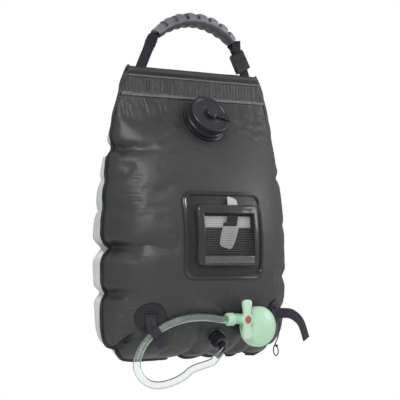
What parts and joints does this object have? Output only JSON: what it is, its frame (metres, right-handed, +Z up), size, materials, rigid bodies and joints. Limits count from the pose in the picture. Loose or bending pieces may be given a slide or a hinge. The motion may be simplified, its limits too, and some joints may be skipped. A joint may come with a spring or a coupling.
{
  "type": "camp shower bag",
  "caption": "Filled camp shower bag on a carrying handle, with screw fill cap, mesh soap pocket, drain elbow, clear hose and a shower head with a turning tap.",
  "frame": {"origin": "the point under the middle of the grip where the full bag hangs", "axes": "-Y is the black front with the cap and pocket, +Z up, +X to the right hand of someone facing the front"},
  "size_m": [0.3702, 0.2089, 0.6134],
  "materials": {
    "black_sheet": "satin",
    "white_sheet": "satin",
    "webbing": "woven",
    "grip_rubber": "moulded",
    "black_plastic": "satin",
    "clear_pvc": "clear",
    "green_plastic": "satin",
    "lever_green": "satin",
    "plug_red": "satin",
    "rod_plastic": "satin",
    "white_card": "matte",
    "seal_rubber": "matte"
  },
  "bodies": {
    "handle": {"grip": "grip_rubber", "handle_webbing": "webbing", "lower_webbing": "webbing", "buckle_plug": "black_plastic", "buckle_socket": "black_plastic"},
    "prong_left": {"buckle_prong_left": "black_plastic"},
    "prong_right": {"buckle_prong_right": "black_plastic"},
    "bag": {"back_panel": "white_sheet", "front_panel": "black_sheet", "top_sleeve": "black_sheet", "hanger_rod": "rod_plastic", "fill_neck": "black_plastic", "pocket_sheet": "clear_pvc", "pocket_binding": "black_sheet", "pocket_tray": "black_sheet", "pocket_mesh": "webbing", "thermometer_strip": "white_card", "white_tag": "white_card", "left_patch": "black_sheet", "right_patch": "black_sheet", "left_strap": "webbing", "hang_cord": "webbing", "cord_knot": "webbing", "outlet_flange": "black_plastic", "outlet_elbow": "black_plastic", "hose": "clear_pvc"},
    "tether": {"cap_tether": "black_plastic"},
    "cap": {"fill_cap": "black_plastic", "fill_gasket": "seal_rubber", "cap_button": "black_plastic"},
    "drain_nut": {"outlet_nut": "black_plastic"},
    "shower_head": {"head_dome": "green_plastic", "head_rose": "green_plastic", "valve_body": "green_plastic", "head_collar": "green_plastic"},
    "tap": {"tap_lever": "lever_green", "tap_plug": "plug_red", "valve_spindle": "green_plastic"},
    "strap": {"right_strap": "webbing"}
  },
  "joints": [
    {"name": "bag_swing", "type": "hinge", "parent": "handle", "child": "bag", "pos_m": [0, 0, -0.079], "axis": [1, 0, 0], "range_deg": [-80, 80]},
    {"name": "prong_left_squeeze", "type": "hinge", "parent": "handle", "child": "prong_left", "pos_m": [0.08621, 0, -0.05012], "axis": [0, -1, 0], "range_deg": [0, 11], "stiffness_Nm_per_rad": 0.03},
    {"name": "prong_right_squeeze", "type": "hinge", "parent": "handle", "child": "prong_right", "pos_m": [0.09959, 0, -0.04292], "axis": [0, 1, 0], "range_deg": [0, 11], "stiffness_Nm_per_rad": 0.03},
    {"name": "cap_lift", "type": "slide", "parent": "bag", "child": "tether", "axis": [0, -0.8601, 0.51], "range_m": [0, 0.012]},
    {"name": "cap_turn", "type": "hinge", "parent": "tether", "child": "cap", "pos_m": [0, -0.02619, -0.16077], "axis": [0, -0.8601, 0.51], "range_deg": [0, 1080]},
    {"name": "drain_nut_turn", "type": "hinge", "parent": "bag", "child": "drain_nut", "pos_m": [0, -0.06008, -0.51192], "axis": [0, -0.8403, -0.5421], "range_deg": [0, 720]},
    {"name": "shower_head_swing", "type": "hinge", "parent": "bag", "child": "shower_head", "pos_m": [-0.11943, -0.06424, -0.50222], "axis": [0, 0, -1], "range_deg": [0, 35], "stiffness_Nm_per_rad": 0.15, "deforming": ["hose"]},
    {"name": "tap_turn", "type": "hinge", "parent": "shower_head", "child": "tap", "pos_m": [0.0246, -0.094, -0.483], "axis": [0, -1, 0], "range_deg": [0, 90]},
    {"name": "right_strap_swing", "type": "hinge", "parent": "bag", "child": "strap", "pos_m": [0.13227, -0.05744, -0.47886], "axis": [0, 0, 1], "range_deg": [-60, 25], "stiffness_Nm_per_rad": 0.002}
  ],
  "couplings": [
    {"joint": "cap_lift", "follows": "cap_turn", "m_per_rad": 0.00063662},
    {"joint": "prong_right_squeeze", "follows": "prong_left_squeeze", "ratio": 1}
  ]
}
